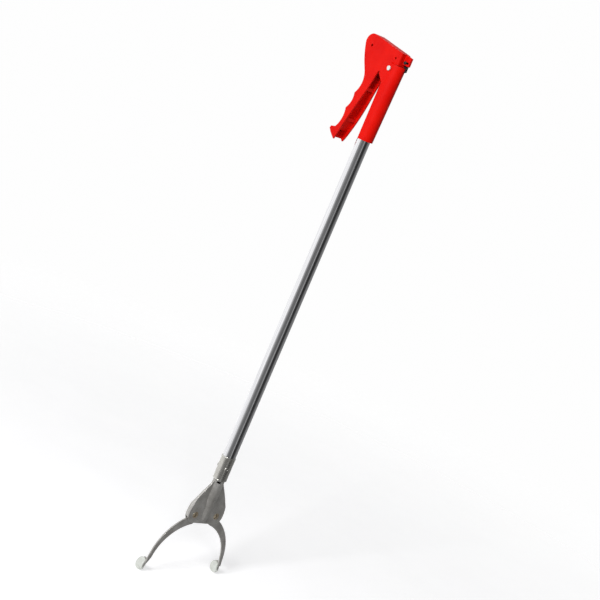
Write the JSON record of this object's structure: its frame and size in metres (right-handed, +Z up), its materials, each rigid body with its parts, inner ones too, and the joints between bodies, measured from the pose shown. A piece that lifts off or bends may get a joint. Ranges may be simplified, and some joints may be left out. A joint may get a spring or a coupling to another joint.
{
  "type": "reacher grabber",
  "caption": "Long reacher: squeezing the plastic trigger lifts a rod in the tube and swings two curved steel jaws shut.",
  "frame": {"origin": "on the tube's axis, level with the lowest point of the open jaws", "axes": "+Z up along the tube to the handle, the trigger is on the -X side, the jaws swing in the YZ plane"},
  "size_m": [0.0841, 0.1504, 0.8061],
  "materials": {
    "tube_metal": "drawn tube polished to a mirror with fine drawing lines",
    "red_plastic": "moulded, satin gloss",
    "head_steel": "stamped sheet, barrel finished",
    "collar_steel": "rolled ring, satin",
    "rivet_brass": "tarnished dome",
    "plated_steel": "bright zinc plate",
    "rod_steel": "drawn bar",
    "black_steel": "black paint",
    "spring_steel": "oiled spring wire",
    "guide_plastic": "natural nylon",
    "pad_rubber": "light grey moulded rubber"
  },
  "bodies": {
    "frame": {"main_tube": "tube_metal", "handle_body": "red_plastic", "handle_screws": "plated_steel", "lever_pivot_pin": "plated_steel", "pivot_clip": "plated_steel", "upper_rod_guide": "guide_plastic", "spring_seat": "guide_plastic", "head_collar": "collar_steel", "collar_rivets": "collar_steel", "front_head_plate": "head_steel", "rear_head_plate": "head_steel", "left_jaw_rivet": "rivet_brass", "right_jaw_rivet": "rivet_brass", "jaw_washers": "plated_steel"},
    "lever": {"trigger_lever": "red_plastic"},
    "rod": {"pull_rod": "rod_steel", "rod_nuts": "plated_steel", "rod_bracket": "black_steel", "bracket_pin": "black_steel", "bracket_pin_clip": "black_steel", "spring_collar": "plated_steel", "return_spring": "spring_steel", "crosshead_block": "plated_steel", "crosshead_plates": "head_steel", "crosshead_pins": "rod_steel"},
    "left_jaw_arm": {"left_jaw": "head_steel", "left_pad": "pad_rubber"},
    "right_jaw_arm": {"right_jaw": "head_steel", "right_pad": "pad_rubber"}
  },
  "joints": [
    {"name": "trigger_squeeze", "type": "hinge", "parent": "frame", "child": "lever", "pos_m": [0.0025, 0, 0.772], "axis": [0, -1, 0], "range_deg": [0, 16]},
    {"name": "rod_slide", "type": "slide", "parent": "frame", "child": "rod", "axis": [0, 0, 1], "range_m": [0, 0.00454], "deforming": ["return_spring"]},
    {"name": "left_jaw_swing", "type": "hinge", "parent": "frame", "child": "left_jaw_arm", "pos_m": [0, -0.02, 0.095], "axis": [1, 0, 0], "range_deg": [0, 38.51]},
    {"name": "right_jaw_swing", "type": "hinge", "parent": "frame", "child": "right_jaw_arm", "pos_m": [0, 0.02, 0.095], "axis": [-1, 0, 0], "range_deg": [0, 38.51]}
  ],
  "couplings": [
    {"joint": "rod_slide", "follows": "trigger_squeeze", "m_per_rad": 0.016257},
    {"joint": "left_jaw_swing", "follows": "trigger_squeeze", "ratio": 2.4062},
    {"joint": "right_jaw_swing", "follows": "trigger_squeeze", "ratio": 2.4062}
  ]
}
